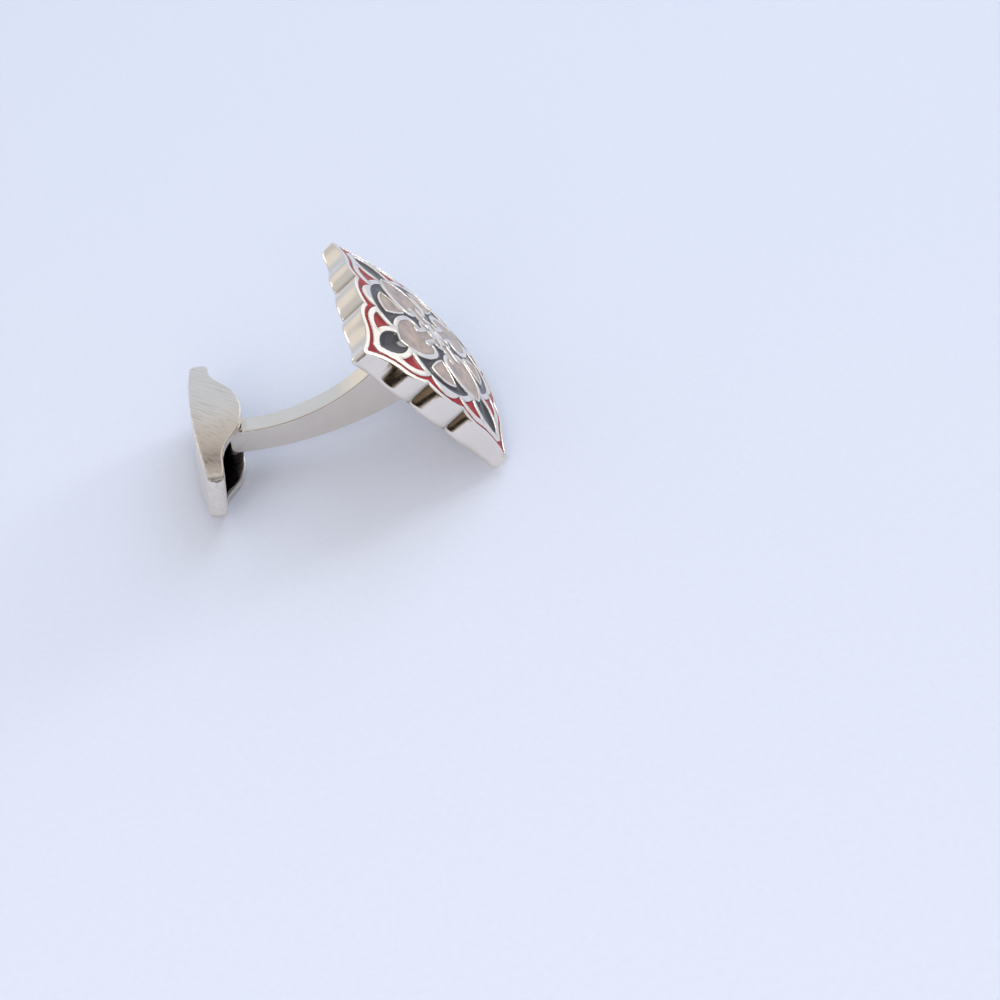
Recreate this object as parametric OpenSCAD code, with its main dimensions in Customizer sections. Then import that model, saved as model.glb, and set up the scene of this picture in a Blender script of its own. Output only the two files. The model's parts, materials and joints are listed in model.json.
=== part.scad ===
// Cufflink: a domed square head with enamel cells, a curved post and a swinging toggle.
// It lies on a table, on two tips of the head and on one cheek of the toggle.
// +Z is up, +X runs from the toggle to the head, and the origin is under its middle.

/* [Head] */
// Width across the head from tip to tip
head_w = 17.2; // [15.5:0.1:20]
// Height of the wall at the four tips
wall_h = 1.5; // [1:0.1:2.4]
// Rise of the domed face above the tips
dome_rise = 1.95; // [1.5:0.05:2.6]
// Radius of the flute at the middle of each side
mid_flute_r = 5.2; // [5:0.1:6.6]
// Radius of the two flutes beside it
side_flute_r = 3.5; // [3.3:0.1:4.1]
// How far the crowns of the flutes stand back from the tips
flute_back = 0.02; // [0.01:0.01:0.2]
// Radius of the hollow flanks that lead to a tip
flank_r = 6.4; // [5.6:0.1:7.4]
// Radius of the rounded tips
tip_r = 0.36; // [0.2:0.02:0.4]

/* [Enamel] */
// Width of the metal rim round the face
rim_w = 0.42; // [0.3:0.02:0.6]
// Width of the border channel inside the rim
channel_w = 0.3; // [0.2:0.02:0.4]
// Width of the metal lines round the side petals
line_w = 0.24; // [0.16:0.02:0.28]
// Width of the broader metal lines round the tip petals
petal_line_w = 0.5; // [0.4:0.02:0.54]
// Width of the metal lines round the spandrels
spandrel_line_w = 0.56; // [0.4:0.02:0.64]
// Depth of the cells below the metal face
cell_depth = 0.45; // [0.3:0.05:0.7]
// How far the enamel lies below the metal lines
enamel_low = 0.05; // [0.02:0.01:0.12]

/* [Post] */
// Straight lead from the hinge to the start of the post's curve
post_lead = 0.85; // [0.4:0.05:1.2]
// Radius of the post's curved centre line
post_r = 21; // [19:0.1:24]
// Angle through which the post bends
post_bend = 43.4; // [35:0.2:50]
// Thickness of the post
post_t = 1.96; // [1.6:0.04:2.1]
// Depth of the post at the toggle
post_depth_toggle = 2.2; // [1.8:0.05:2.4]
// Depth of the post at the head
post_depth_head = 4.8; // [3.6:0.1:5.4]

/* [Toggle] */
// Length of the toggle
toggle_l = 16.7; // [15:0.1:19]
// Width of the toggle at its middle
toggle_w = 6.4; // [6:0.05:7]
// Width of the toggle at its ends
toggle_end_w = 4.1; // [3.9:0.05:4.6]
// Radius of the toggle's rounded corners
toggle_corner_r = 0.2; // [0.2:0.1:1.2]
// Depth of the base below the pin at the middle
base_low = 3.15; // [2.95:0.05:3.6]
// How far the base curves up to its ends
base_sweep = 0.6; // [0.4:0.05:1]
// Thickness of the base
base_t = 0.9; // [0.6:0.05:1.1]
// Height of the cheeks above the pin at the hump
hump_h = 1.08; // [1.02:0.02:1.4]
// Radius of the hump's crown
hump_r = 6.6; // [6:0.1:7.2]
// Radius of the hollows beside the hump
hollow_r = 4.2; // [3.6:0.1:4.8]
// Depth of the low ends of the cheeks below the pin
cheek_low = 1.1; // [1.06:0.02:1.3]
// Width of the channel between the cheeks
channel_gap = 4.7; // [4.3:0.05:4.9]
// Width of the channel at its ends
channel_end_gap = 3; // [2.6:0.05:3.1]
// Thickness of the toggle's end walls
end_wall = 0.9; // [0.6:0.1:1.4]

/* [Hinge] */
// Radius of the hinge pin
pin_r = 0.5; // [0.4:0.02:0.6]
// Clearance round the pin in the post
pin_run = 0.03; // [0.02:0.01:0.06]
// Clearance round the pin in the cheeks
pin_fix = 0.01; // [0.005:0.005:0.02]
// Clearance at each side of the knuckle
knuckle_side = 0.06; // [0.04:0.01:0.12]
// Thickness of the leaf spring
spring_t = 0.22; // [0.15:0.01:0.3]
// Width of the leaf spring
spring_w = 2.4; // [1.6:0.1:2.6]
// Clearance between the spring and the knuckle
spring_run = 0.03; // [0.02:0.01:0.08]

/* [Hidden] */
$fn = 96;
dome_fn = 288;
over = 1;

half = head_w / 2;
tip_c = [half - tip_r, half - tip_r];
corner_r = norm(tip_c) + tip_r;
crown = half - flute_back;
dome_r = (corner_r * corner_r + dome_rise * dome_rise) / (2 * dome_rise);
dome_low = wall_h + dome_rise - dome_r;

// Places and sizes of the face's ornament, as shares of half the head's width
flute_place_share = 0.44;
tip_cut_share = 1.21;
ogee_share = 0.5;
bud_shares = [0.66, 1.135, 0.132];
tip_petal_shares = [0.095, 0.765, 0.215];
lobe_shares = [0.384, 0.128, 0.087];
scroll_shares = [0.325, 0.087, 0.042];
stem_shares = [0.14, 0.045];
side_petal_shares = [0.448, 1.46, 0.209];
side_petal_crown_shares = [0.709, 0.27];
crescent_shares = [0.364, 0.45];
seed_shares = [0.22, 0.405];
rosette_shares = [0.088, 0.19, 0.036];
bead_share = 0.058;
// Parts of the toggle's channel that have parallel sides and a level floor
slot_straight_share = 0.5;
floor_flat_share = 0.45;

sweep_r = (toggle_l * toggle_l / 4 + base_sweep * base_sweep) / (2 * base_sweep);
flute_c = [half * flute_place_share, crown - side_flute_r];
mid_line = rim_w + channel_w;

QUARTERS = [1:4];
EIGHTHS = [1:8];

// Centre of a circle that meets circle a of radius ra and circle b of radius rb
function meet(a, ra, b, rb) =
    let (
        d = norm(b - a),
        along = (ra * ra - rb * rb + d * d) / (2 * d),
        out = sqrt(ra * ra - along * along),
        e = (b - a) / d
    )
    a + e * along + [-e.y, e.x] * out;

// Radius of an arc that starts level and ends at the offset d
function level_arc_r(d) = (d.x * d.x + d.y * d.y) / (2 * d.y);

// A point mirrored across the Y axis, and a point turned by quarter turns
function flip(p) = [-p.x, p.y];
function turn(p, quarter) = [
    p.x * cos(90 * quarter) - p.y * sin(90 * quarter),
    p.x * sin(90 * quarter) + p.y * cos(90 * quarter)
];

// Outline of the head, set in by inset, with a middle flute of radius mid_r.
// The polygon joins the centres of its arcs, and crosses where a flute meets a flank.
module outline(inset, mid_r) {
    mid_c = [0, crown - mid_r];
    flank_c = meet(flute_c, side_flute_r + flank_r, tip_c, tip_r + flank_r);
    run = [tip_c, flank_c, flute_c, mid_c, flip(flute_c), flip(flank_c)];
    difference() {
        union() {
            polygon([for (quarter = QUARTERS) each [for (p = run) turn(p, quarter)]]);
            for (quarter = QUARTERS)
                rotate(90 * quarter) {
                    translate(mid_c)
                        circle(mid_r - inset);
                    for (place = [flute_c, flip(flute_c)])
                        translate(place)
                            circle(side_flute_r - inset);
                    if (tip_r > inset)
                        translate(tip_c)
                            circle(tip_r - inset);
                }
        }
        for (quarter = QUARTERS)
            rotate(90 * quarter)
                for (place = [flank_c, flip(flank_c)])
                    translate(place)
                        circle(flank_r + inset);
    }
}

// Leaf on the X axis from x = a to x = b, half as wide as w on each side, grown by grow
module leaf(a, b, w, grow) {
    r = ((b - a) * (b - a) / 4 + w * w) / (2 * w);
    intersection_for (side = [-1, 1])
        translate([(a + b) / 2, side * (r - w)])
            circle(r + grow);
}

// The ogee field inside the border channel
module field(inset) {
    intersection() {
        outline(mid_line + inset, mid_flute_r * ogee_share);
        circle(half * tip_cut_share - inset);
    }
}

module border_cell() {
    difference() {
        outline(rim_w, mid_flute_r);
        field(0);
    }
}

// Cells on the diagonal are drawn along +X and turned to the tips.
// A tip petal has a pointed end, two round lobes and a stem that runs to the middle.
module tip_petal_form(grow) {
    s = tip_petal_shares * half;
    lobe = lobe_shares * half;
    stem = stem_shares * half;
    intersection() {
        leaf(s[0], s[1], s[2], grow);
        translate([lobe[0], -half])
            square([half, head_w]);
    }
    for (side = [-1, 1])
        translate([lobe[0], side * lobe[1]])
            circle(lobe[2] + grow);
    translate([stem[0] - grow, -stem[1] - grow])
        square([lobe[0] + lobe[2] - stem[0] + grow, 2 * (stem[1] + grow)]);
}

module tip_petal_cell() {
    scroll = scroll_shares * half;
    difference() {
        tip_petal_form(0);
        for (side = [-1, 1])
            translate([scroll[0], side * scroll[1]])
                circle(scroll[2]);
    }
}

module bud_lens(grow) {
    s = bud_shares * half;
    leaf(s[0], s[1], s[2], grow);
}

module bud_cell() {
    difference() {
        bud_lens(0);
        tip_petal_form(line_w);
    }
}

// Cells on the side axes are drawn along +X and turned to the sides
module side_petal_cell(grow) {
    s = side_petal_shares * half;
    top = side_petal_crown_shares * half;
    intersection() {
        leaf(s[0], s[1], s[2], grow);
        translate([top[0] - top[1], 0])
            circle(top[1] + grow);
    }
}

module crescent_disc(grow) {
    s = crescent_shares * half;
    translate([s[0], 0])
        circle(s[1] + grow);
}

// The dark field of one side, round its petal and inwards between two tip petals
module dark_cell() {
    difference() {
        intersection() {
            crescent_disc(0);
            polygon([[0, 0], [head_w, -head_w], [head_w, head_w]]);
        }
        side_petal_cell(line_w);
        for (side = [-1, 1])
            rotate(45 * side)
                tip_petal_form(petal_line_w);
        circle(seed_shares[0] * half);
    }
}

// The dark field is filled in two pieces, which meet where the side petal ends
module crescent_cell() {
    intersection() {
        dark_cell();
        translate([seed_shares[1] * half, -half])
            square([half, head_w]);
    }
}

module seed_cell() {
    intersection() {
        dark_cell();
        translate([0, -half])
            square([seed_shares[1] * half, head_w]);
    }
}

// Spandrel between a bud and the crescent on one side of it
module spandrel_cell() {
    difference() {
        intersection() {
            field(spandrel_line_w);
            rotate(-90)
                translate(flute_c)
                    circle(side_flute_r - mid_line - spandrel_line_w);
        }
        rotate(-45)
            bud_lens(spandrel_line_w);
        rotate(-45)
            tip_petal_form(spandrel_line_w);
        crescent_disc(spandrel_line_w);
        translate([-half, -half])
            square([half + flute_c.y, head_w]);
    }
}

module rosette_cell() {
    s = rosette_shares * half;
    leaf(s[0], s[1], s[2], 0);
}

module bead_cell() {
    circle(half * bead_share);
}

// Every pocket in the face
module all_cells() {
    border_cell();
    bead_cell();
    for (quarter = QUARTERS)
        rotate(90 * quarter) {
            rotate(45) {
                bud_cell();
                tip_petal_cell();
            }
            side_petal_cell(0);
            dark_cell();
            spandrel_cell();
            mirror([0, 1])
                spandrel_cell();
            rosette_cell();
        }
}

// The dome's ball, grown or shrunk by grow, with its poles away from the face
module dome(grow) {
    translate([0, 0, dome_low])
        rotate([90, 0, 0])
            sphere(dome_r + grow, $fn = dome_fn);
}

// One enamel fill: its cell's outline between the pocket's floor and its own face
module fill() {
    difference() {
        intersection() {
            linear_extrude(wall_h + dome_rise)
                children();
            dome(-enamel_low);
        }
        dome(-cell_depth);
    }
}

// The lying pose: the head's lower back edge and the toggle's cheek touch the table
head_x = post_lead + post_r * sin(post_bend);
head_z = post_r * (1 - cos(post_bend));
edge_x = head_x + half * sin(post_bend);
edge_z = head_z - half * cos(post_bend);
lie = atan2(-toggle_w / 2 - edge_z, edge_x - hump_h);
pivot_z = toggle_w / 2 * cos(lie) - hump_h * sin(lie);
far_x = edge_x * cos(lie) - edge_z * sin(lie) + wall_h * cos(post_bend + lie);
near_x = -base_low * cos(lie) + toggle_end_w / 2 * sin(lie);
pivot_x = -(far_x + near_x) / 2;

// From the hinge's frame, with the post starting along +X, to the table's
module lying() {
    translate([pivot_x, 0, pivot_z])
        rotate([0, -lie, 0])
            children();
}

// From the head's frame, with its face up, to the table's
module on_head() {
    lying()
        translate([head_x, 0, head_z])
            rotate([0, 90 - post_bend, 0])
                rotate(180)
                    children();
}

module head() {
    color("gainsboro")
        on_head()
            difference() {
                intersection() {
                    linear_extrude(wall_h + dome_rise + over)
                        outline(0, mid_flute_r);
                    dome(0);
                }
                difference() {
                    linear_extrude(wall_h + dome_rise + over)
                        all_cells();
                    dome(-cell_depth);
                }
            }
}

module centre_bead() {
    color("gainsboro")
        on_head()
            translate([0, 0, wall_h + dome_rise - cell_depth])
                cylinder(cell_depth, half * bead_share, half * bead_share);
}

module border_enamel() {
    color("firebrick")
        on_head()
            fill()
                border_cell();
}

module bud_enamel(i) {
    color("dimgray")
        on_head()
            fill()
                rotate(90 * i + 45)
                    bud_cell();
}

module spandrel_enamel(i) {
    color("firebrick")
        on_head()
            fill()
                rotate(90 * ceil(i / 2))
                    mirror([0, i % 2])
                        spandrel_cell();
}

module crescent_enamel(i) {
    color("dimgray")
        on_head()
            fill()
                rotate(90 * i)
                    crescent_cell();
}

module side_petal_enamel(i) {
    color("tan")
        on_head()
            fill()
                rotate(90 * i)
                    side_petal_cell(0);
}

module tip_petal_enamel(i) {
    color("tan")
        on_head()
            fill()
                rotate(90 * i + 45)
                    tip_petal_cell();
}

module seed_enamel(i) {
    color("dimgray")
        on_head()
            fill()
                rotate(90 * i)
                    seed_cell();
}

module rosette_enamel(i) {
    color("tan")
        on_head()
            fill()
                rotate(90 * i)
                    rosette_cell();
}

// The post's side view: two level arcs that spread from the toggle to the head
module post_profile() {
    across = [-sin(post_bend), cos(post_bend)];
    top_end = [head_x, head_z] + across * post_depth_head / 2;
    low_end = [head_x, head_z] - across * post_depth_head / 2;
    top_start = [post_lead, post_depth_toggle / 2];
    low_start = [post_lead, -post_depth_toggle / 2];
    top_r = level_arc_r(top_end - top_start);
    low_r = level_arc_r(low_end - low_start);
    difference() {
        intersection() {
            polygon([
                [0, -post_depth_toggle], [0, top_start.y], top_end, low_end,
                low_end - across * post_depth_head, [head_x, -post_depth_head]
            ]);
            translate(low_start + [0, low_r])
                circle(low_r, $fn = dome_fn);
        }
        translate(top_start + [0, top_r])
            circle(top_r, $fn = dome_fn);
    }
}

module post() {
    knuckle_w = channel_gap - 2 * knuckle_side;
    color("silver")
        lying()
            difference() {
                union() {
                    rotate([90, 0, 0])
                        linear_extrude(post_t, center = true)
                            post_profile();
                    cylinder(knuckle_w, post_t / 2, post_t / 2, center = true);
                }
                cylinder(knuckle_w + over, pin_r + pin_run, pin_r + pin_run, center = true);
            }
}

module hinge_pin() {
    color("silver")
        lying()
            cylinder(toggle_w, pin_r, pin_r, center = true);
}

// What is cut away over the cheeks in the side view, X towards the head and Y along the toggle.
// Its polygon runs over the centres of the arcs.
module above_cheeks() {
    hump_c = [hump_h - hump_r, 0];
    hollow_x = hollow_r - cheek_low;
    hollow_y = sqrt(pow(hump_r + hollow_r, 2) - pow(hollow_x - hump_c.x, 2));
    end_y = toggle_l / 2 + over;
    difference() {
        union() {
            polygon([
                [-cheek_low, -end_y], [-cheek_low, -hollow_y], [hollow_x, -hollow_y], hump_c,
                [hollow_x, hollow_y], [-cheek_low, hollow_y], [-cheek_low, end_y],
                [hump_h + over, end_y], [hump_h + over, -end_y]
            ]);
            for (side = [-1, 1])
                translate([hollow_x, side * hollow_y])
                    circle(hollow_r);
        }
        translate(hump_c)
            circle(hump_r);
    }
}

// Plan of the toggle: bowed sides and rounded corners
module boat() {
    bow = (toggle_w - toggle_end_w) / 2;
    r = (toggle_l * toggle_l / 4 + bow * bow) / (2 * bow);
    intersection() {
        intersection_for (side = [-1, 1])
            translate([side * (r - toggle_w / 2), 0])
                circle(r, $fn = dome_fn);
        union() {
            square([toggle_w, toggle_l - 2 * toggle_corner_r], center = true);
            square([toggle_end_w - 2 * toggle_corner_r, toggle_l], center = true);
            for (side = [-1, 1], tail = [-1, 1])
                translate([
                    side * (toggle_end_w / 2 - toggle_corner_r),
                    tail * (toggle_l / 2 - toggle_corner_r)
                ])
                    circle(toggle_corner_r);
        }
    }
}

// A bar along the pin's axis with the round sweep of the toggle's base
module sweep_bar() {
    translate([sweep_r - base_low, 0, 0])
        cylinder(toggle_w + over, sweep_r, sweep_r, center = true, $fn = dome_fn);
}

// Half of the channel's length and of its parallel stretch beside the knuckle
slot_long = toggle_l / 2 - end_wall;
slot_straight = slot_long * slot_straight_share;

// The channel's floor, level in the middle and rising to the ends with the base
floor_flat = slot_long * floor_flat_share;
floor_x = base_t - base_low;
floor_slope = base_sweep * pow(slot_long * 2 / toggle_l, 2) / (slot_long - floor_flat);

// Plan of the channel: parallel beside the knuckle, then narrower to the end walls
module slot_plan() {
    side = [
        [channel_gap / 2, -slot_straight], [channel_gap / 2, slot_straight],
        [channel_end_gap / 2, slot_long], [-channel_end_gap / 2, slot_long]
    ];
    polygon(concat(side, -1 * side));
}

// Side view of the channel, drawn past its ends
module slot_side() {
    end_y = slot_long + over;
    end_x = floor_x + floor_slope * (end_y - floor_flat);
    polygon([
        [floor_x, -floor_flat], [floor_x, floor_flat], [end_x, end_y],
        [hump_h + over, end_y], [hump_h + over, -end_y], [end_x, -end_y]
    ]);
}

// The toggle's outer form before its cheeks are cut to their waved tops
module toggle_block() {
    intersection() {
        rotate([0, 90, 0])
            linear_extrude(2 * (base_low + hump_h), center = true)
                boat();
        sweep_bar();
        linear_extrude(toggle_w + over, center = true)
            translate([-base_low - over, -toggle_l])
                square([base_low + hump_h + over, 2 * toggle_l]);
    }
}

module toggle() {
    color("silver")
        lying()
            difference() {
                difference() {
                    toggle_block();
                    intersection() {
                        linear_extrude(toggle_w + over, center = true)
                            slot_side();
                        rotate([0, 90, 0])
                            linear_extrude(2 * (base_low + hump_h), center = true)
                                slot_plan();
                    }
                }
                linear_extrude(toggle_w + over, center = true)
                    above_cheeks();
                cylinder(toggle_w + over, pin_r + pin_fix, pin_r + pin_fix, center = true);
            }
}

// Bowed leaf whose crown bears on the knuckle and whose ends stand on the base
module leaf_spring() {
    crown_x = -post_t / 2 - spring_run;
    foot_y = toggle_l / 2 - 2 * end_wall;
    foot_x = floor_x + floor_slope * (foot_y - floor_flat);
    sag = crown_x - spring_t - foot_x;
    bow_r = (foot_y * foot_y + sag * sag) / (2 * sag);
    color("silver")
        lying()
            linear_extrude(spring_w, center = true)
                intersection() {
                    difference() {
                        translate([crown_x - spring_t - bow_r, 0])
                            circle(bow_r + spring_t, $fn = dome_fn);
                        translate([crown_x - spring_t - bow_r, 0])
                            circle(bow_r, $fn = dome_fn);
                    }
                    translate([foot_x, -foot_y])
                        square([base_low, 2 * foot_y]);
                }
}

head();
centre_bead();
border_enamel();
for (i = QUARTERS) bud_enamel(i);
for (i = EIGHTHS) spandrel_enamel(i);
for (i = QUARTERS) crescent_enamel(i);
for (i = QUARTERS) side_petal_enamel(i);
for (i = QUARTERS) tip_petal_enamel(i);
for (i = QUARTERS) seed_enamel(i);
for (i = QUARTERS) rosette_enamel(i);
post();
hinge_pin();
toggle();
leaf_spring();
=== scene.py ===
# %% [markdown]
# # A cufflink, dressed for the camera
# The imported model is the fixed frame. It holds a domed head with enamel cells, a curved post and a
# swinging toggle. This script adds what the eye needs: rounded edges, finishes with wear, a sheet
# of pale paper, soft light and a camera at the photograph's angle.

# %% Load the frame
import json
import math

import bpy
import numpy as np
from mathutils import Matrix, Vector
from mathutils.bvhtree import BVHTree
from mathutils.kdtree import KDTree


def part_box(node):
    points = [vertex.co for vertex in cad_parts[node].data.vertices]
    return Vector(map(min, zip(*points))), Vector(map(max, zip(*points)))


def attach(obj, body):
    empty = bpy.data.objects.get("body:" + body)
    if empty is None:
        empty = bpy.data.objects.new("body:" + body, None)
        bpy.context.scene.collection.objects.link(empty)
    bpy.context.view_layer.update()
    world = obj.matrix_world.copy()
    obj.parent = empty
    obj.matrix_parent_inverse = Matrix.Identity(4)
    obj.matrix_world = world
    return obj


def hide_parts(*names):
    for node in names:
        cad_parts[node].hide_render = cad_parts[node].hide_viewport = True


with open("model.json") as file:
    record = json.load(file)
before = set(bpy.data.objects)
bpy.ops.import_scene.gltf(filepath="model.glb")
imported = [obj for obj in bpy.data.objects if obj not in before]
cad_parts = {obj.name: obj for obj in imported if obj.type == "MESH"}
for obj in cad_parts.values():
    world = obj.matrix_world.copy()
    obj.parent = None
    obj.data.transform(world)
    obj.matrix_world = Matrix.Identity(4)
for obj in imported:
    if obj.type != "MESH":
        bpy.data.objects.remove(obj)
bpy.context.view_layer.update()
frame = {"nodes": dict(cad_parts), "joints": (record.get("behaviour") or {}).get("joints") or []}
nodes = frame["nodes"]
MM = 0.001
scene = bpy.context.scene
scene.view_settings.view_transform = "Standard"

# %% [markdown]
# ## The camera
# The photograph looks down at about 40 degrees, a little from the side, and the horizon leans by
# about 8 degrees. The angles, the distance and the focal length come from matching the model's own
# edges to the same edges in the photograph.

# %% Camera
AZIMUTH = math.radians(-7.24)
ELEVATION = math.radians(40.02)
LEAN = math.radians(-8.42)
DISTANCE = 138.7 * MM
TARGET = Vector((10.55, -16.98, 4.0)) * MM
SENSOR_WIDTH = 36
FOCAL_PER_WIDTH = 1.762

back = Vector((
    math.sin(AZIMUTH) * math.cos(ELEVATION),
    -math.cos(AZIMUTH) * math.cos(ELEVATION),
    math.sin(ELEVATION),
))
right = Vector((0, 0, 1)).cross(back).normalized()
up = back.cross(right)
lean_right = right * math.cos(LEAN) + up * math.sin(LEAN)
lean_up = -right * math.sin(LEAN) + up * math.cos(LEAN)
turn = Matrix((lean_right, lean_up, back)).transposed().to_4x4()
camera_data = bpy.data.cameras.new("camera")
camera_data.sensor_width = SENSOR_WIDTH
camera_data.lens = SENSOR_WIDTH * FOCAL_PER_WIDTH
camera_data.clip_start = 5 * MM
camera = bpy.data.objects.new("camera", camera_data)
camera.matrix_world = Matrix.Translation(TARGET + back * DISTANCE) @ turn
scene.collection.objects.link(camera)
scene.camera = camera
print("camera at", [round(v / MM, 1) for v in camera.location], "mm")

# %% [markdown]
# ## Directions and zones
# The head's face looks along one direction, and its enamel dips along it. The toggle turns about
# its pin, and its channel is open on the side of the head. From these directions come the zones
# where an edge is rounder than elsewhere, and those where no polishing wheel can reach.

# %% Directions, in the frame's own axes
def numbers(items, key, width=3):
    """One property of all items of a mesh, as an array with a row for each item."""
    values = np.empty(len(items) * width)
    items.foreach_get(key, values)
    return values.reshape(-1, width)


hinge = frame["joints"][0]
PIVOT = np.array(hinge["pos_m"]) / MM
PIN = np.array(hinge["axis"])
TOWARDS_HEAD = np.array((PIN[2], 0, -PIN[0]))
LEAN_OF_FACE = math.radians(35.77)
FACE_NORMAL = np.array((math.cos(LEAN_OF_FACE), 0, math.sin(LEAN_OF_FACE)))
head_back = (numbers(nodes["head"].data.vertices, "co") / MM).dot(FACE_NORMAL).min()
toggle_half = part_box("toggle")[1].y / MM
print("half the toggle is", round(toggle_half, 2), "mm, its pin is at", PIVOT.round(2))


# %% Zones with rounder edges, in mm
BACK_FADE = (0.2, 1.2)  # above the head's back, where its zone starts and ends to fade
END_FADE = (1.1, 0.2)  # inside the toggle's ends


def step(value, low, high):
    """A smooth step from 0 at low to 1 at high."""
    t = np.clip((value - low) / (high - low), 0, 1)
    return t * t * (3 - 2 * t)


def head_back_zone(points):
    """1 at the back of the head's wall, 0 at its face."""
    return 1 - step(points @ FACE_NORMAL - head_back, *BACK_FADE)


def toggle_end_zone(points):
    """1 at the toggle's two ends."""
    return step(abs(points[:, 1]), *(toggle_half - gap for gap in END_FADE))


# %% Zones of painted shade, in mm
CHANNEL_HALF, CHANNEL_END_HALF = 2.35, 1.5  # half the channel's width, at the pin and at its ends
CHANNEL_TAPER = 3.7  # from here on it narrows
CHANNEL_FLOOR = -2.3
SIDE_FADE = (0.03, 0.15)  # beyond the channel's sides
END_WALL_FADE = (0.86, 0.6)  # inside the toggle's ends
LIP_FADE = (0.2, 0.95)  # above the pin
KNUCKLE_TOP_FADE = (1.0, 1.4)
KNUCKLE_SIDE_FADE = (1.12, 1.2)


def channel_painted_shade(points):
    """1 deep in the toggle's channel, where shade is painted nearly black."""
    across, depth = abs((points - PIVOT) @ PIN), (points - PIVOT) @ TOWARDS_HEAD
    along = abs(points[:, 1])
    half = CHANNEL_HALF - (CHANNEL_HALF - CHANNEL_END_HALF) * step(along, CHANNEL_TAPER, toggle_half)
    between = 1 - step(across, *(half + gap for gap in SIDE_FADE))
    short = 1 - step(along, *(toggle_half - gap for gap in END_WALL_FADE))
    return (depth > CHANNEL_FLOOR) * between * short * (1 - step(depth, *LIP_FADE))


def knuckle_painted_shade(points):
    """1 on the parts of the post's knuckle that turn inside the channel, where shade is painted
    dark.
    """
    across, depth = (points - PIVOT) @ PIN, (points - PIVOT) @ TOWARDS_HEAD
    return (1 - step(depth, *KNUCKLE_TOP_FADE)) * step(abs(across), *KNUCKLE_SIDE_FADE)


# %% [markdown]
# ## Rounded edges
# A CAD edge has no radius, but a cast, tumbled and polished one does, and that small radius is
# what catches the light. A bevel would be the usual way. Here the edges are many and crowded, so
# each solid is rebuilt as an even skin of small squares (a voxel remesh). The skin is laid back on
# the CAD surface away from its edges, and relaxed next to them, as a polishing wheel does.

# %% Read a solid's surface
MERGE_DIGITS = 4  # points that agree to this many digits of a millimetre are one point


def surface(names):
    """Corners, triangles and corner normals of CAD nodes, in millimetres."""
    points, triangles, normals, count = [], [], [], 0
    for name in names:
        mesh = nodes[name].data
        mesh.calc_loop_triangles()
        loops = numbers(mesh.loop_triangles, "loops").astype(int)
        points.append(numbers(mesh.vertices, "co") / MM)
        triangles.append(numbers(mesh.loop_triangles, "vertices").astype(int) + count)
        normals.append(numbers(mesh.corner_normals, "vector")[loops])
        count += len(mesh.vertices)
    points = np.concatenate(points)
    points = np.round(points, MERGE_DIGITS)
    places, merged = np.unique(points, axis=0, return_inverse=True)
    return places, merged.reshape(-1)[np.concatenate(triangles)], np.concatenate(normals)


# %% Find its sharp edges
SHARP = math.cos(math.radians(24))
CORNER_PAIRS = ((0, 1, 2), (1, 2, 0), (2, 0, 1))  # an edge's two corners, and the third one


def sharp_edges(places, triangles, normals, spacing):
    """Points along every edge where the surface turns sharply, and along its inner corners."""
    ends = np.concatenate([triangles[:, [a, b]] for a, b, _ in CORNER_PAIRS])
    lean = np.concatenate([normals[:, [a, b]] for a, b, _ in CORNER_PAIRS])
    apex = np.concatenate([triangles[:, c] for _, _, c in CORNER_PAIRS])

    # Two triangles share each edge. Sorting the edges by their ends puts the two side by side.
    swapped = ends[:, 0] > ends[:, 1]
    ends[swapped] = ends[swapped][:, ::-1]
    lean[swapped] = lean[swapped][:, ::-1]
    order = np.lexsort((ends[:, 1], ends[:, 0]))
    ends, lean, apex = ends[order], lean[order], apex[order]
    turned = (ends[1:] == ends[:-1]).all(1) & ((lean[1:] * lean[:-1]).sum(2) < SHARP).any(1)
    start, stop = places[ends[1:][turned]].transpose(1, 0, 2)

    # At an inner corner, one triangle's third point stands in front of the other triangle
    inner = ((places[apex[:-1][turned]] - start) * lean[1:][turned][:, 0]).sum(1) > 0
    spots, corners = [], []
    for a, b, is_inner in zip(start, stop, inner):
        count = int(np.linalg.norm(b - a) / spacing) + 2
        line = a + (b - a) * np.linspace(0, 1, count)[:, None]
        spots.append(line)
        if is_inner:
            corners.append(line)
    return np.concatenate(spots), np.concatenate(corners) if corners else spots[0][:0]


# %% Lay a skin on the surface
FAR_OFF = (1000, 1000, 1000)
TINY = 1e-12  # keeps a division from meeting zero


def tree_of(points):
    """A search tree over these points, or over one point far off where there are none."""
    tree = KDTree(max(len(points), 1))
    for i, point in enumerate(points.tolist() or [FAR_OFF]):
        tree.insert(point, i)
    tree.balance()
    return tree


def laid(skin, places, triangles, normals, spacing):
    """For each point of the skin: its place on the CAD surface, the smooth normal there, and how
    far the nearest sharp edge and the nearest inner corner are."""
    edges, corners = sharp_edges(places, triangles, normals, spacing)
    edge_tree, corner_tree = tree_of(edges), tree_of(corners)
    cad_tree = BVHTree.FromPolygons(places.tolist(), triangles.tolist())
    nearest = [cad_tree.find_nearest(p) for p in numbers(skin.vertices, "co").tolist()]
    on_cad = np.array([hit[0] for hit in nearest])
    face = np.array([hit[2] for hit in nearest])
    edge_gap = np.array([edge_tree.find(p)[2] for p in on_cad.tolist()])
    corner_gap = np.array([corner_tree.find(p)[2] for p in on_cad.tolist()])

    # The smooth normal comes from the three corners of the triangle, by their nearness
    a, b, c = (places[triangles[face, k]] for k in range(3))
    opposite = ((b, c), (c, a), (a, b))
    shares = [np.linalg.norm(np.cross(q - on_cad, r - on_cad), axis=1) for q, r in opposite]
    smooth = sum(share[:, None] * normals[face, k] for k, share in enumerate(shares))
    smooth /= np.linalg.norm(smooth, axis=1)[:, None] + TINY
    return on_cad, smooth, edge_gap, corner_gap


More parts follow.
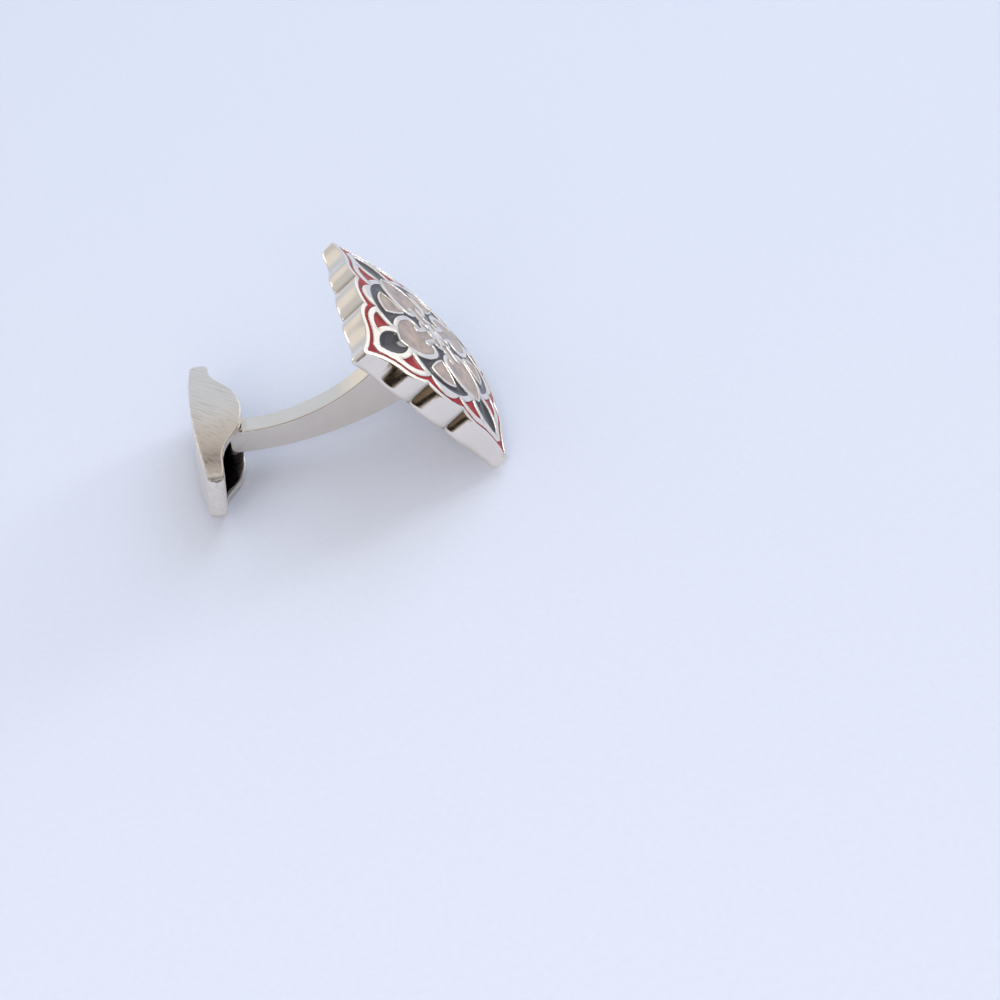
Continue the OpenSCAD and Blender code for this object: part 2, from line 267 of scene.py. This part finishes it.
# %% Round it next to the edges
RELAX = 0.6  # how much of the way to its neighbours' middle a point goes in one pass
FADE = 0.5  # the part of the radius over which the rounding fades out


def relaxed(spot, links, weight, passes):
    """Points pulled towards the middle of their neighbours, each by its own weight."""
    one, two = links[:, 0], links[:, 1]
    degree = np.bincount(links.reshape(-1), minlength=len(spot))[:, None]
    for _ in range(passes):
        total = np.stack([
            np.bincount(one, spot[two, k], len(spot)) + np.bincount(two, spot[one, k], len(spot))
            for k in range(3)
        ], 1)
        spot = spot + weight * (total / degree - spot)
    return spot


def rounded(skin, on_cad, edge_gap, radius, passes, wide):
    """The skin's points after the wheel, and how near an edge each one is, from 0 to 1.
    wide is a larger radius and the zone where it rules."""
    weight = np.full(len(on_cad), RELAX)
    if wide:
        wide_radius, zone = wide
        ruled = zone(on_cad)
        weight *= (radius / wide_radius) ** (2 * (1 - ruled))
        radius = radius + (wide_radius - radius) * ruled
    near = step(radius - edge_gap, 0, FADE * radius)[:, None]
    links = numbers(skin.edges, "vertices", 2).astype(int)
    start = on_cad + (numbers(skin.vertices, "co") - on_cad) * near
    return relaxed(start, links, near * weight[:, None], passes), near


# %% [markdown]
# Fired enamel sinks a little between its metal lines, and stays high where it clings to them. The
# inner corners of the metal hold a little grey polish. Shade is painted at each enamel's rim, on the
# post's knuckle, and deep in the channel, apart from its outer edges, which keep their shine. Every
# piece carries that as one number for each point, its tarnish and painted shade, and the materials
# read it.

# %% Sink the enamel, keep the grey, and paint the shade
FACING_FROM, FACING_SPAN = 0.6, 0.3  # a surface that leans more than this isn't sunk
CORNER_GREY, CORNER_REACH = 0.7, 0.12  # a reach is in mm
# The strength of the shade painted at each enamel's rim
RIM_SHADE = 0.85
EDGE_LIFT_SHARE, EDGE_LIFT_REACH = 0.8, 0.05
EDGE_MARGIN = 0.01  # mm: an outer edge is nearer than any inner corner by more than this


def dipped(spot, smooth, edge_gap, depth, rim):
    """Points sunk by this depth, less near the rim, and only where they face outwards."""
    facing = np.clip((smooth @ FACE_NORMAL - FACING_FROM) / FACING_SPAN, 0, 1)
    return spot - (depth * facing * (1 - np.exp(-edge_gap / rim)))[:, None] * FACE_NORMAL


def tarnish_and_shade_of(points, edge_gap, corner_gap, painted_shade, bowl):
    """How dull the surface is at these points, from 0 to 1: its grey polish and its painted shade.
    """
    dull = CORNER_GREY * np.exp(-corner_gap / CORNER_REACH)
    # At an enamel's rim, shade is painted where the enamel climbs the metal walls.
    if bowl:
        dull = RIM_SHADE * np.exp(-edge_gap / bowl[1])
    # Painted shade, deep in the channel and on the knuckle, lifted near the outer edges so that they
    # keep the plate's own shine.
    if painted_shade:
        edge_lift = (corner_gap > edge_gap + EDGE_MARGIN) * np.exp(-edge_gap / EDGE_LIFT_REACH)
        dull = np.maximum(dull, painted_shade(points) * (1 - EDGE_LIFT_SHARE * edge_lift))
    return dull


# %% Make one dressed piece
def applied(piece, kind, **settings):
    """The piece's mesh after one modifier."""
    modifier = piece.modifiers.new(kind.lower(), kind)
    for key, value in settings.items():
        setattr(modifier, key, value)
    depsgraph = bpy.context.evaluated_depsgraph_get()
    mesh = bpy.data.meshes.new_from_object(piece.evaluated_get(depsgraph))
    piece.modifiers.clear()
    return mesh


def dressed(name, names, voxel, radius, passes, keep, wide=None, painted_shade=None, bowl=None):
    """A piece like these CAD nodes, with rounded edges. Lengths are in millimetres, voxel is the
    skin's spacing, and keep is the share of faces that stays. wide is a larger radius and its
    zone, the shade zone marks where shade is painted dark, and bowl is an enamel's dip: its depth
    and rim width."""
    places, triangles, normals = surface(names)
    mesh = bpy.data.meshes.new(name)
    mesh.from_pydata(places.tolist(), [], triangles.tolist())
    piece = bpy.data.objects.new(name, mesh)
    scene.collection.objects.link(piece)
    coarser = 1
    skin = applied(piece, "REMESH", mode="VOXEL", voxel_size=voxel * coarser)
    on_cad, smooth, edge_gap, corner_gap = laid(skin, places, triangles, normals, voxel)
    spot, near = rounded(skin, on_cad, edge_gap, radius, passes, wide)
    if bowl:
        spot = dipped(spot, smooth, edge_gap, *bowl)
        near = np.ones_like(near)
    skin.vertices.foreach_set("co", spot.reshape(-1))
    skin.update()
    soft = smooth * (1 - near) + numbers(skin.vertex_normals, "vector") * near

    # Fewer faces where the skin is even, then the dense skin's normals laid on what is left
    piece.data = skin
    light = applied(piece, "DECIMATE", ratio=keep)
    dense_tree = tree_of(spot)
    left = numbers(light.vertices, "co")
    source = np.array([dense_tree.find(p)[1] for p in left.tolist()])
    dull = tarnish_and_shade_of(left, edge_gap[source], corner_gap[source], painted_shade, bowl)
    light.vertices.foreach_set("co", (left * MM).reshape(-1))
    light.update()
    light.shade_smooth()
    light.normals_split_custom_set_from_vertices(soft[source].tolist())
    light.attributes.new("tarnish_and_shade", "FLOAT", "POINT").data.foreach_set("value", dull)
    light.name = name
    piece.data = light
    print(name, "skin of", len(skin.polygons), "faces, kept", len(light.polygons))
    return piece


# %% [markdown]
# ## The pieces
# Head, post and toggle are dressed one by one. The pin is filed flush with the toggle's cheeks, so
# the two are one piece. The bead and the spring are small and smooth already, and stay as they
# are. The pieces ride on the model's two bodies: the head with its post, and the toggle.

# %% Which finish each one takes
# An enamel's name comes with its slot, and with the depth and the rim width of its dip in mm
ENAMEL = {
    "border": ("red_enamel", (0.06, 0.1)),
    "spandrel": ("red_enamel", (0.09, 0.15)),
    "bud": ("dark_enamel", (0.2, 0.5)),
    "crescent": ("dark_enamel", (0.1, 0.2)),
    "seed": ("dark_enamel", (0.08, 0.15)),
    "side_petal": ("beige_enamel", (0.08, 0.2)),
    "tip_petal": ("beige_enamel", (0.08, 0.25)),
    "rosette": ("beige_enamel", (0.05, 0.1)),
}
METAL = {
    "toggle": "brushed_metal",
    "hinge_pin": "brushed_metal",
    "toggle_bar": "brushed_metal",
    "leaf_spring": "spring_steel",
}


def slot_for(name):
    """The finish of a node or a piece. Metal that isn't listed is polished."""
    kind = name.split("_enamel")[0]
    return ENAMEL[kind][0] if kind in ENAMEL else METAL.get(name, "polished_metal")


# %% Head, post and toggle
SOLIDS = (
    ("head_casting", ["head"], "head_body",
     dict(voxel=0.06, radius=0.16, passes=60, keep=0.17, wide=(0.7, head_back_zone))),
    ("post_bar", ["post"], "head_body",
     dict(voxel=0.07, radius=0.16, passes=7, keep=0.3, painted_shade=knuckle_painted_shade)),
    ("toggle_bar", ["toggle", "hinge_pin"], "toggle_body",
     dict(voxel=0.07, radius=0.22, passes=110, keep=0.3, wide=(0.9, toggle_end_zone),
          painted_shade=channel_painted_shade)),
)
pieces = {}
for name, names, body, form in SOLIDS:
    pieces[name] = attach(dressed(name, names, **form), body)
    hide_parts(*names)

# %% Enamel fills
for node in [name for name in nodes if "_enamel" in name]:
    name = node + "_fill"
    bowl = ENAMEL[node.split("_enamel")[0]][1]
    piece = dressed(name, [node], voxel=0.07, radius=0.1, passes=0, keep=0.35, bowl=bowl)
    pieces[name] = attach(piece, "head_body")
    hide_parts(node)
print(len(pieces), "pieces dressed")

# %% [markdown]
# ## Small helpers for materials
# Colours are written as sRGB hex values, as a designer would, and turned to linear light once. One
# helper adds any shader node, and another lays a random grain on a piece at its real size.

# %% Helpers
COLOURS = {"data_type": "RGBA"}
MIXED_COLOUR = 2  # the place of the colour among a Mix node's outputs


def linear(hex_colour):
    """An sRGB hex colour as linear RGBA."""
    parts = [int(hex_colour[i:i + 2], 16) / 255 for i in (1, 3, 5)]
    return [c / 12.92 if c <= 0.04045 else ((c + 0.055) / 1.055) ** 2.4 for c in parts] + [1]


def add(tree, kind, settings=None, out=0, **inputs):
    """Adds one shader node and gives back one of its outputs. An input is a value, or a socket to
    link. It goes by its name, or by its place among the node's inputs, as i0, i1 and so on."""
    node = tree.nodes.new("ShaderNode" + kind)
    for name, value in (settings or {}).items():
        setattr(node, name, value)
    for name, value in inputs.items():
        by_place = name[0] == "i" and name[1:].isdigit()
        socket = node.inputs[int(name[1:]) if by_place else name.replace("_", " ")]
        if isinstance(value, bpy.types.NodeSocket):
            tree.links.new(value, socket)
        else:
            socket.default_value = value
    return node.outputs[out]


def material(name, **constants):
    """A material whose shader's sockets hold these constants."""
    made = bpy.data.materials.new(name)
    made.use_nodes = True
    tree = made.node_tree
    shader = tree.nodes["Principled BSDF"]
    for key, value in constants.items():
        shader.inputs[key.replace("_", " ")].default_value = value
    return made, tree, shader


def grain(tree, size, detail=3, turn=(0, 0, 0), crispness=0.5):
    """A random pattern of grains about this long, wide and deep in mm, turned by these degrees.
    detail is how many finer layers lie on it, and crispness how strong those are."""
    place = add(tree, "TexCoord", out="Object")
    scaled = add(tree, "Mapping", {"vector_type": "TEXTURE"}, Vector=place,
                 Rotation=[math.radians(t) for t in turn], Scale=[s * MM for s in size])
    return add(tree, "TexNoise", out="Fac", Vector=scaled, Scale=1, Detail=detail,
               Roughness=crispness)


# %% [markdown]
# ## Rhodium plate
# Dress cufflinks are cast in brass and plated with rhodium, a hard, bright, slightly warm white
# metal. The head and post are polished: they mirror the room, with faint waves left by the wheel
# and hairline scratches from wear. A lower roughness gives sharper pictures in the metal.
#
# A real hairline is about 0.01 mm wide, too fine to show here. It is drawn 0.12 mm wide and very
# shallow instead. The wheel's waves are about 1.6 mm long, and only 0.003 mm deep.

# %% How any plated metal looks
WAVE_SIZE, WAVE_DEPTH, WAVE_GREY = (1.6, 1.6, 1.6), 0.003, 0.25
STREAK_CRISPNESS = 0.65
STREAK_RANGE = (0.3, 0.7)  # nearly all of the streaks' values lie between these two
CUT_RANGE = (0.5, 0.72)  # the strongest ones count as cuts, and look grey
TARNISH_HAZE = 0.25  # how much rougher the metal is where it is tarnished


def plated(name, colours, streaks, detail, turn, rough, cut_depth, cut_grey):
    """Metal with streaks. Its three colours are for where it is bright, where it is dull, and where
    it holds tarnish and painted shade. The streaks have a size in mm, a fineness and a turn in
    degrees, and rough is the lowest and the highest roughness. The cuts have a depth in mm, and a
    share of the dull colour."""
    made, tree, shader = material(name, Metallic=1)
    bright, dull, tarnished_and_shaded = map(linear, colours)
    tarnish_and_shade = add(tree, "Attribute", {"attribute_name": "tarnish_and_shade"}, "Fac")
    waves = grain(tree, WAVE_SIZE)
    lines = grain(tree, streaks, detail, turn, STREAK_CRISPNESS)
    cuts = add(tree, "MapRange", Value=lines, From_Min=CUT_RANGE[0], From_Max=CUT_RANGE[1],
               To_Min=0, To_Max=cut_grey)
    grey = add(tree, "Math", {"operation": "MULTIPLY_ADD"}, i0=waves, i1=WAVE_GREY, i2=cuts)
    clean = add(tree, "Mix", COLOURS, MIXED_COLOUR, i0=grey, i6=bright, i7=dull)
    tone = add(tree, "Mix", COLOURS, MIXED_COLOUR, i0=tarnish_and_shade, i6=clean, i7=tarnished_and_shaded)
    tree.links.new(tone, shader.inputs["Base Color"])
    satin = add(tree, "MapRange", Value=lines, From_Min=STREAK_RANGE[0], From_Max=STREAK_RANGE[1],
                To_Min=rough[0], To_Max=rough[1])
    haze = add(tree, "Math", {"operation": "MULTIPLY_ADD"}, i0=tarnish_and_shade, i1=TARNISH_HAZE, i2=satin)
    tree.links.new(haze, shader.inputs["Roughness"])
    cut = add(tree, "Bump", Height=lines, Distance=cut_depth * MM, Strength=1)
    relief = add(tree, "Bump", Height=waves, Distance=WAVE_DEPTH * MM, Strength=1, Normal=cut)
    tree.links.new(relief, shader.inputs["Normal"])
    return made


# %% Polished plate
# Its darkest colour is the grey polish of the inner corners, and the shade painted on the post's
# knuckle.
polished = plated(
    "polished_rhodium_plate", ("#f1e9df", "#c4bab0", "#2e2927"),
    streaks=(3, 0.12, 0.12), detail=3, turn=(20, 10, 35),
    rough=(0.07, 0.16), cut_depth=0.0003, cut_grey=0,
)
print("made", polished.name)

# %% [markdown]
# The toggle is finished with a fine abrasive belt, which leaves short, close lines slantwise
# across its cheeks. The lines blur the reflections and turn the mirror into a satin sheen. Real
# ones are about 0.03 mm wide. They are drawn 0.2 mm wide, so that they show. Deep in the channel
# the bare casting is darker, and shade is painted over it nearly black. The spring in it is dark
# hardened steel, painted darker still as the channel's shade, and the marks left by its rolling run
# along it.

# %% Brushed plate and spring steel
# Its darkest colour is the near black of the shade painted deep in the channel.
brushed = plated(
    "brushed_rhodium_plate", ("#f0e8de", "#c4b9ad", "#0c0b0b"),
    streaks=(6, 0.2, 0.2), detail=2, turn=(0, 0, -42),
    rough=(0.16, 0.27), cut_depth=0.0014, cut_grey=0.45,
)
# The spring's colours are darker than hardened steel alone: the channel's shade is painted on it.
spring_steel = plated(
    "hardened_spring_steel_in_shade", ("#4a4848", "#2c2a2a", "#181717"),
    streaks=(0.1, 3, 0.1), detail=3, turn=(0, 0, 0),
    rough=(0.25, 0.4), cut_depth=0.001, cut_grey=0.3,
)
print("made", brushed.name, "and", spring_steel.name)

# %% [markdown]
# ## Vitreous enamel
# Powdered glass is laid in the cells and fired. It keeps the gloss of glass, with a rounded dip
# where it climbs the metal walls, and a colour that is deeper where it lies thicker. The powder is
# ground to grains of about 0.1 mm, which gather in clouds of about a millimetre.

# %% How any enamel looks
CLOUD_SIZE, CLOUD_DEPTH, CLOUD_SHARE = (1.1, 1.1, 1.1), 0.006, 0.7  # sizes and depths in mm
GRAIN_DEPTH, GRAIN_SHARE = 0.0006, 0.3
THICK_RANGE = (0.38, 0.62)  # thin and pale below the first, thick and deep above the second
COAT_ROUGHNESS = 0.06


def enamel(name, pale, deep, rough, gloss, coat, powder):
    """Fired glass, cloudy on the scale of a millimetre and speckled by its powder, in mm."""
    made, tree, shader = material(
        name, Roughness=rough, Specular_IOR_Level=gloss, Coat_Weight=coat,
        Coat_Roughness=COAT_ROUGHNESS)
    cloud = grain(tree, CLOUD_SIZE, detail=4)
    grains = grain(tree, (powder, powder, powder), detail=2)
    fine = add(tree, "Math", {"operation": "MULTIPLY"}, i0=grains, i1=GRAIN_SHARE)
    both = add(tree, "Math", {"operation": "MULTIPLY_ADD"}, i0=cloud, i1=CLOUD_SHARE, i2=fine)
    thick = add(tree, "MapRange", Value=both, From_Min=THICK_RANGE[0], From_Max=THICK_RANGE[1])
    # Its rim is painted in the deep colour: painted shade where the enamel climbs the metal walls.
    rim = add(tree, "Attribute", {"attribute_name": "tarnish_and_shade"}, "Fac")
    share = add(tree, "Math", {"operation": "MAXIMUM"}, i0=thick, i1=rim)
    tone = add(tree, "Mix", COLOURS, MIXED_COLOUR, i0=share, i6=linear(pale), i7=linear(deep))
    tree.links.new(tone, shader.inputs["Base Color"])
    swell = add(tree, "Bump", Height=cloud, Distance=CLOUD_DEPTH * MM, Strength=1)
    relief = add(tree, "Bump", Height=grains, Distance=GRAIN_DEPTH * MM, Strength=1, Normal=swell)
    tree.links.new(relief, shader.inputs["Normal"])
    return made


# %% Red, grey and beige enamel
FINISH = {
    "polished_metal": polished,
    "brushed_metal": brushed,
    "spring_steel": spring_steel,
    "red_enamel": enamel(
        "vitreous_red_enamel", "#aa1d25", "#7c0e14", rough=0.16, gloss=0.1, coat=0.08, powder=0.1),
    "dark_enamel": enamel(
        "vitreous_grey_enamel", "#2c272e", "#17141a", rough=0.16, gloss=0.12, coat=0.3, powder=0.1),
    "beige_enamel": enamel(
        "pearl_beige_enamel", "#bba698", "#8f8583", rough=0.35, gloss=0.15, coat=0.1, powder=0.08),
}
for name, obj in {**nodes, **pieces}.items():
    obj.data.materials.clear()
    obj.data.materials.append(FINISH[slot_for(name)])
print(len(FINISH), "finishes put on", len(nodes) + len(pieces), "nodes and pieces")

# %% [markdown]
# ## Paper and light
# The cufflink lies on matt paper with a faint blue cast. Real fibres are finer than the picture can
# show, so they are drawn as a soft grain of half a millimetre. The tone drifts a little over
# 60 mm, so that the sheet isn't one flat colour.

# %% Paper
FIBRE_SIZE, FIBRE_DEPTH, FIBRE_SHARE = (0.5, 0.5, 0.5), 0.02, 0.1
FIBRE_RANGE, FIBRE_CRISPNESS = (0.3, 0.7), 0.7
DRIFT_SIZE = (60, 60, 60)
FLOOR_WIDTH = 1.2  # metres

paper, tree, shader = material("matt_pale_blue_paper", Roughness=0.95, Specular_IOR_Level=0)
fibres = grain(tree, FIBRE_SIZE, detail=5, crispness=FIBRE_CRISPNESS)
drift = grain(tree, DRIFT_SIZE, detail=1)
pale = add(tree, "Mix", COLOURS, MIXED_COLOUR, i0=drift, i6=linear("#dce4f4"), i7=linear("#dfe5f3"))
shade = add(tree, "MapRange", Value=fibres, From_Min=FIBRE_RANGE[0], From_Max=FIBRE_RANGE[1],
            To_Min=0, To_Max=FIBRE_SHARE)
tone = add(tree, "Mix", COLOURS, MIXED_COLOUR, i0=shade, i6=pale, i7=linear("#b9c0d4"))
relief = add(tree, "Bump", Height=fibres, Distance=FIBRE_DEPTH * MM, Strength=1)
tree.links.new(tone, shader.inputs["Base Color"])
tree.links.new(relief, shader.inputs["Normal"])
bpy.ops.mesh.primitive_plane_add(size=FLOOR_WIDTH, location=(0, 0, 0))
floor = bpy.context.object
floor.name = "paper_floor"
floor.data.materials.append(paper)
print("paper", FLOOR_WIDTH, "m wide")

# %% [markdown]
# Polished metal shows the room more than itself, so the room matters. It is painted on the world
# as soft zones by direction: a bright window low on the right, a warm pale wall behind and on the
# left, and darker things in front, around the place of the camera. A small lamp on the right gives
# the bud of enamel its glint, and a strip of light on the left runs along the edges. The camera
# itself sees a plain pale backdrop.

# %% Room
ZONES = (  # name, direction, degrees where it starts and ends to fade, colour, strength
    ("ceiling", (0.0, 0.0, 1.0), 25, 80, "#e6e6e8", 1.0),
    ("window", (0.66, 0.66, 0.30), 15, 44, "#f8faff", 1.45),
    ("sky_side", (-0.10, 0.93, 0.33), 14, 34, "#e3edfb", 1.0),
    ("high_wall", (0.29, 0.50, 0.80), 8, 24, "#d6d0ce", 1.0),
    ("white_wall", (-0.64, 0.72, 0.24), 7, 18, "#f8f4f0", 1.1),
    ("shelf", (0.135, 0.50, 0.856), 1.5, 5, "#4b3a2a", 0.9),
    ("small_lamp", (0.868, 0.396, 0.301), 1, 10, "#ffffff", 14.0),
    ("strip_light", (-0.74, 0.64, 0.17), 4, 9, "#fffdf8", 2.6),
    ("dark_side", (-0.30, -0.94, 0.06), 10, 24, "#2b2320", 1.0),
    ("brown_front", tuple(back), 8, 15, "#6b5546", 1.0),
    ("dark_front", tuple(back), 4, 8, "#171413", 1.0),
)
WALLS, BACKDROP = "#e1e2e5", "#dfe4f0"
ROOM_STRENGTH = 0.85

world = bpy.data.worlds.new("room")
world.use_nodes = True
scene.world = world
room = world.node_tree
sight = add(room, "TexCoord", out="Generated")
colour = linear(WALLS)
for name, aim, inner, outer, paint, strength in ZONES:
    along = add(room, "VectorMath", {"operation": "DOT_PRODUCT", "label": name}, "Value",
                i0=sight, i1=Vector(aim).normalized())
    zone = add(room, "MapRange", {"interpolation_type": "SMOOTHSTEP"}, Value=along,
               From_Min=math.cos(math.radians(outer)), From_Max=math.cos(math.radians(inner)))
    lit = [strength * v for v in linear(paint)[:3]] + [1]
    colour = add(room, "Mix", COLOURS, MIXED_COLOUR, i0=zone, i6=colour, i7=lit)
seen = add(room, "LightPath", out="Is Camera Ray")
shown = add(room, "Mix", COLOURS, MIXED_COLOUR, i0=seen, i6=colour, i7=linear(BACKDROP))
background = room.nodes["Background"]
room.links.new(shown, background.inputs["Color"])
background.inputs["Strength"].default_value = ROOM_STRENGTH
print(len(ZONES), "zones painted on the room")

# %% [markdown]
# A soft lamp behind and to the right gives the shadow its direction, and a larger, warmer one in
# front on the left fills it. Both are kept out of the reflections, which the painted room makes.

# %% Lamps
def lamp(name, place, size, power, paint):
    """A round soft lamp that looks at the origin. Place and size are in metres, power in watts."""
    data = bpy.data.lights.new(name, "AREA")
    data.shape = "DISK"
    data.size = size
    data.energy = power
    data.color = linear(paint)[:3]
    made = bpy.data.objects.new(name, data)
    made.location = place
    made.rotation_euler = (-Vector(place)).to_track_quat("-Z", "Y").to_euler()
    made.visible_glossy = False
    scene.collection.objects.link(made)
    print(name, "of", power, "W")


lamp("window_light", (0.20, 0.26, 0.34), size=0.34, power=0.54, paint="#dceaff")
lamp("fill_light", (-0.10, -0.40, 0.22), size=0.40, power=1.15, paint="#fff2e8")

# %% [markdown]
# Studios set small dark cards beside polished things, so that a white metal has something to draw
# its form with. This one stands in front of the head, out of sight. Only mirror-like rays meet it,
# so it draws dark bars into the flutes and leaves the light on the paper alone. It is tan at its
# foot, nearly black above that, and brown and streaky at the top, so the bars aren't flat.

# %% The card's colours
TAN, BLACK, BROWN = "#a08a6e", "#0d0b0b", "#4a3a2d"
FOOT_FADE, TOP_FADE = (1.0, 1.8), (4.6, 5.6)  # heights in mm
STREAK_SIZE = (5, 5, 0.8)

card_paint, tree, shader = material("dark_brown_card", Roughness=0.9, Specular_IOR_Level=0)
height = add(tree, "SeparateXYZ", out="Z", Vector=add(tree, "TexCoord", out="Object"))
above_foot, at_top = (
    add(tree, "MapRange", Value=height, From_Min=low * MM, From_Max=high * MM)
    for low, high in (FOOT_FADE, TOP_FADE))
streaky = add(tree, "Mix", COLOURS, MIXED_COLOUR,
              i0=grain(tree, STREAK_SIZE, detail=2), i6=linear(TAN), i7=linear(BROWN))
upper = add(tree, "Mix", COLOURS, MIXED_COLOUR, i0=at_top, i6=linear(BLACK), i7=streaky)
tone = add(tree, "Mix", COLOURS, MIXED_COLOUR, i0=above_foot, i6=linear(TAN), i7=upper)
tree.links.new(tone, shader.inputs["Base Color"])
print("made", card_paint.name)

# %% Dark card
CARD_LEFT, CARD_RIGHT = -14 * MM, 18 * MM
CARD_Y, CARD_TOP = -32 * MM, 10 * MM

corners = [(CARD_LEFT, CARD_Y, 0), (CARD_RIGHT, CARD_Y, 0),
           (CARD_RIGHT, CARD_Y, CARD_TOP), (CARD_LEFT, CARD_Y, CARD_TOP)]
card_mesh = bpy.data.meshes.new("dark_card")
card_mesh.from_pydata(corners, [], [(0, 1, 2, 3)])
card_mesh.materials.append(card_paint)
card = bpy.data.objects.new("dark_card", card_mesh)
scene.collection.objects.link(card)
card.visible_camera = False
card.visible_diffuse = False
card.visible_shadow = False
card.visible_transmission = False
print("card", round((CARD_RIGHT - CARD_LEFT) / MM), "mm wide")
